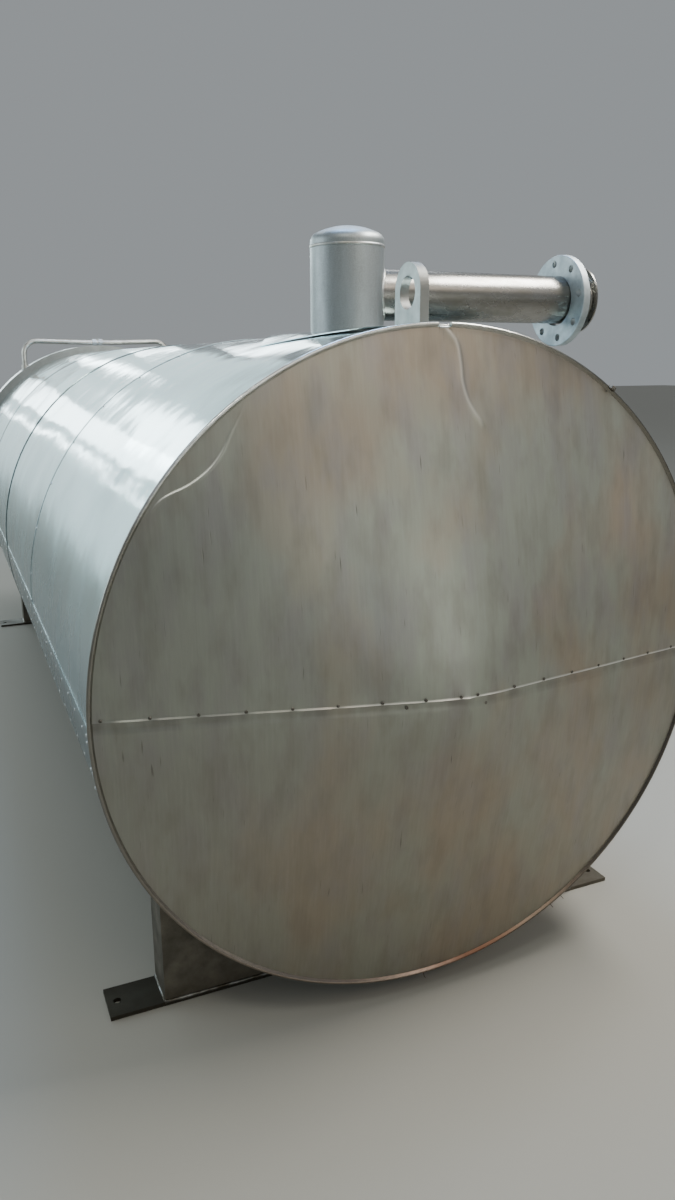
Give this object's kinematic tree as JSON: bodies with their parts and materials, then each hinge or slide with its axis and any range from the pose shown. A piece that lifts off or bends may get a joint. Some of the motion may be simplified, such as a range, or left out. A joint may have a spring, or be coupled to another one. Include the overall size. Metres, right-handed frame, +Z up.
{
  "type": "retort sterilizer",
  "caption": "Horizontal insulated pressure vessel on saddles: clad barrel, conical blind end, capped dome with flanged branch, lifting lug and a dished door.",
  "frame": {"origin": "centre of the foundation bolt holes, on the undersides of the saddle plates at floor level", "axes": "+Z up; +Y along the barrel from the blind end to the door; +X to the side that the branch points to"},
  "size_m": [1.548, 4.3609, 1.6937],
  "materials": {
    "jacket_sheet": "bright cold-rolled stainless sheet with lap seams, soft dents and handling marks",
    "cover_sheet": "stainless sheet with upright grinding streaks, creases and grey stains",
    "trim_sheet": "folded stainless strip, bright along its edge",
    "shell_plate": "hot-rolled pickled stainless plate",
    "dome_pipe": "satin pickled stainless pipe and cap",
    "branch_tube": "ground stainless pipe",
    "flange_cast": "matt cast backing flange",
    "lug_plate": "blasted stainless plate",
    "saddle_plate": "dull stainless plate with weld beads and floor dirt",
    "door_ring": "turned and ground forging",
    "door_plate": "satin dished plate",
    "hinge_steel": "cut plate, ground edges",
    "bow_pipe": "drawn stainless pipe and union"
  },
  "bodies": {
    "root": {"blind_head": "shell_plate", "body_flange": "door_ring", "bow_boss_left": "bow_pipe", "bow_boss_right": "bow_pipe", "bow_pipe_left": "bow_pipe", "bow_pipe_right": "bow_pipe", "bow_union": "bow_pipe", "branch_collar": "branch_tube", "branch_flange": "flange_cast", "branch_pipe": "branch_tube", "cover_lower": "cover_sheet", "cover_upper": "cover_sheet", "dome_cap": "dome_pipe", "dome_flashing": "jacket_sheet", "dome_neck": "dome_pipe", "door_dish": "door_plate", "door_flange": "door_ring", "door_handle": "bow_pipe", "front_saddle_box": "saddle_plate", "front_saddle_plate": "saddle_plate", "front_wear_plate": "saddle_plate", "hinge_arm_lower": "hinge_steel", "hinge_arm_upper": "hinge_steel", "hinge_bracket_lower": "hinge_steel", "hinge_bracket_upper": "hinge_steel", "hinge_pin": "hinge_steel", "jacket_lower_1": "jacket_sheet", "jacket_lower_2": "jacket_sheet", "jacket_lower_3": "jacket_sheet", "jacket_lower_4": "jacket_sheet", "jacket_upper_1": "jacket_sheet", "jacket_upper_2": "jacket_sheet", "jacket_upper_3": "jacket_sheet", "jacket_upper_4": "jacket_sheet", "lifting_lug": "lug_plate", "pressure_shell": "shell_plate", "rear_saddle_box": "saddle_plate", "rear_saddle_plate": "saddle_plate", "rear_wear_plate": "saddle_plate", "rim_clip": "trim_sheet", "rim_strip_left": "trim_sheet", "rim_strip_right": "trim_sheet", "support_rings": "shell_plate", "turning_ring": "door_ring"}
  },
  "joints": []
}
